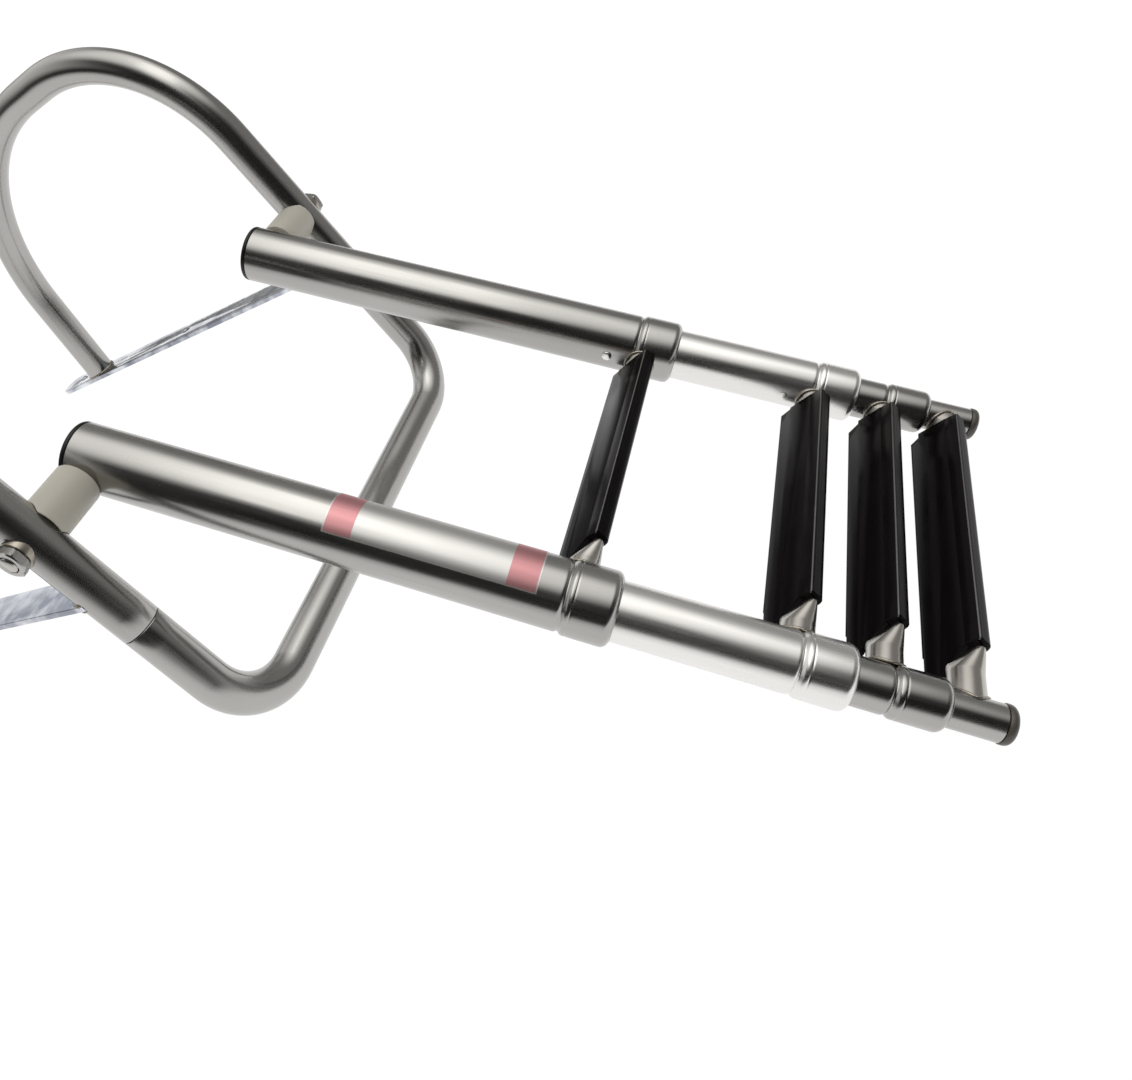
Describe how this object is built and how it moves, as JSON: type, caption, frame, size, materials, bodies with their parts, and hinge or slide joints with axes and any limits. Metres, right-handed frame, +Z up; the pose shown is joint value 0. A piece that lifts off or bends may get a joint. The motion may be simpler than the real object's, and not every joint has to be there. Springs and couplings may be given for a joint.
{
  "type": "telescoping boarding ladder",
  "caption": "Telescoping stainless boarding ladder with plastic treads, hinged on a bent tube frame with handrail loops and flat bars that bolt to a swim platform.",
  "frame": {"origin": "on the floor, under the middle of the whole object's box", "axes": "+Z up as it lies on the floor; +X along the rungs, to the side called right; +Y from the handrails towards the lower end of the ladder"},
  "size_m": [0.3808, 0.7996, 0.3075],
  "materials": {
    "polished_steel": "polished stainless tube with a slight satin grain, warm grey",
    "mirror_steel": "mirror polished stainless flat bar",
    "black_plastic": "glossy black moulded plastic",
    "cap_plastic": "satin black moulded plastic",
    "nylon": "natural off-white nylon, satin"
  },
  "bodies": {
    "frame": {"handrail_right": "polished_steel", "handrail_left": "polished_steel", "joint_sleeve_right": "polished_steel", "joint_sleeve_left": "polished_steel", "deck_plate_right": "mirror_steel", "deck_plate_left": "mirror_steel", "lower_u_tube": "polished_steel", "pivot_bolt_right": "polished_steel", "pivot_bolt_left": "polished_steel", "pivot_spacer_right": "nylon", "pivot_spacer_left": "nylon", "pivot_washer_right": "polished_steel", "pivot_washer_left": "polished_steel", "pivot_nut_right": "polished_steel", "pivot_nut_left": "polished_steel"},
    "section_1": {"top_cap_right": "cap_plastic", "top_cap_left": "cap_plastic", "rail_1_right": "polished_steel", "rail_1_left": "polished_steel", "rung_1": "polished_steel", "tread_1": "black_plastic", "guide_bushing_1_right": "nylon", "guide_bushing_1_left": "nylon", "bushing_rivet_right": "polished_steel", "bushing_rivet_left": "polished_steel"},
    "section_2": {"rail_2_right": "polished_steel", "rail_2_left": "polished_steel", "rung_2": "polished_steel", "tread_2": "black_plastic", "guide_bushing_2_right": "nylon", "guide_bushing_2_left": "nylon", "top_slider_2_right": "nylon", "top_slider_2_left": "nylon"},
    "section_3": {"rail_3_right": "polished_steel", "rail_3_left": "polished_steel", "rung_3": "polished_steel", "tread_3": "black_plastic", "guide_bushing_3_right": "nylon", "guide_bushing_3_left": "nylon", "top_slider_3_right": "nylon", "top_slider_3_left": "nylon"},
    "section_4": {"rail_4_right": "polished_steel", "rail_4_left": "polished_steel", "rung_4": "polished_steel", "tread_4": "black_plastic", "top_slider_4_right": "nylon", "top_slider_4_left": "nylon", "end_cap_right": "cap_plastic", "end_cap_left": "cap_plastic"}
  },
  "joints": [
    {"name": "ladder_pivot", "type": "hinge", "parent": "frame", "child": "section_1", "pos_m": [0, -0.05932, 0.16281], "axis": [1, 0, 0], "range_deg": [-33.4, 217]},
    {"name": "section_2_slide", "type": "slide", "parent": "section_1", "child": "section_2", "axis": [0, 0.9477, -0.3191], "range_m": [-0.071, 0.139]},
    {"name": "section_3_slide", "type": "slide", "parent": "section_2", "child": "section_3", "axis": [0, 0.9477, -0.3191], "range_m": [0, 0.21]},
    {"name": "section_4_slide", "type": "slide", "parent": "section_3", "child": "section_4", "axis": [0, 0.9477, -0.3191], "range_m": [0, 0.21]}
  ]
}
